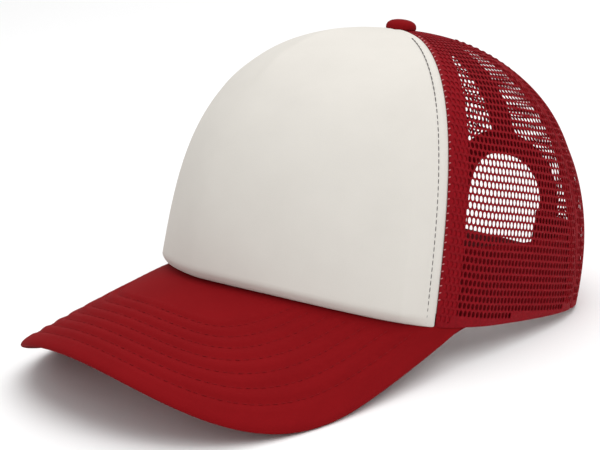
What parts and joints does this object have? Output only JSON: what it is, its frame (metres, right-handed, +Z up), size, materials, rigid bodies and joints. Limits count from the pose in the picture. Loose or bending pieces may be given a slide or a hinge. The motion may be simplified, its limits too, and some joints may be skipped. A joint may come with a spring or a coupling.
{
  "type": "trucker cap",
  "caption": "Trucker cap with a puffed foam-backed front, open net side and rear panels, a curved stitched visor, a covered button and a plastic snap closure across the rear opening.",
  "frame": {"origin": "on the surface the cap stands on, under the middle of its outline", "axes": "+Z up, -Y to the visor, +X to the wearer's left; the cap stands tipped back on the visor's two sides and the rear rim"},
  "size_m": [0.1678, 0.2696, 0.1366],
  "materials": {
    "front_cloth": "smooth white knit over foam",
    "foam": "open-cell foam backing",
    "mesh_net": "open hexagonal polyester net",
    "visor_cloth": "matte red twill",
    "seam_tape": "woven red tape",
    "sweatband_cloth": "folded red twill band",
    "button_metal": "plain stamped metal",
    "board_plastic": "plain sheet",
    "strap_plastic": "flexible moulded plastic",
    "red_thread": "sewing thread",
    "grey_thread": "sewing thread"
  },
  "bodies": {
    "cap": {"front_cover": "front_cloth", "front_foam": "foam", "mesh_side_left": "mesh_net", "mesh_side_right": "mesh_net", "mesh_rear_left": "mesh_net", "mesh_rear_right": "mesh_net", "front_seam_tape_left": "seam_tape", "front_seam_tape_right": "seam_tape", "side_seam_tape_left": "seam_tape", "side_seam_tape_right": "seam_tape", "rear_seam_tape": "seam_tape", "rear_opening_binding": "seam_tape", "sweatband": "sweatband_cloth", "sweatband_edging": "seam_tape", "button_cover": "visor_cloth", "button_shell": "button_metal", "button_rivet": "button_metal", "visor_board": "board_plastic", "visor_top_cover": "visor_cloth", "visor_under_cover": "visor_cloth", "visor_stitching": "red_thread", "front_topstitching": "grey_thread", "strap_tail_left": "strap_plastic", "strap_tail_right": "strap_plastic", "strap_bartacks": "red_thread"},
    "hole_strap": {"hole_strap": "strap_plastic"},
    "stud_strap": {"stud_strap": "strap_plastic"}
  },
  "joints": [
    {"name": "hole_strap_swing", "type": "hinge", "parent": "cap", "child": "hole_strap", "pos_m": [0.022, 0.12008, 0.0091], "axis": [0, -0.4263, -0.9046], "range_deg": [0, 70]},
    {"name": "stud_strap_swing", "type": "hinge", "parent": "cap", "child": "stud_strap", "pos_m": [-0.022, 0.1189, 0.00965], "axis": [0, -0.4263, -0.9046], "range_deg": [0, 40]}
  ]
}
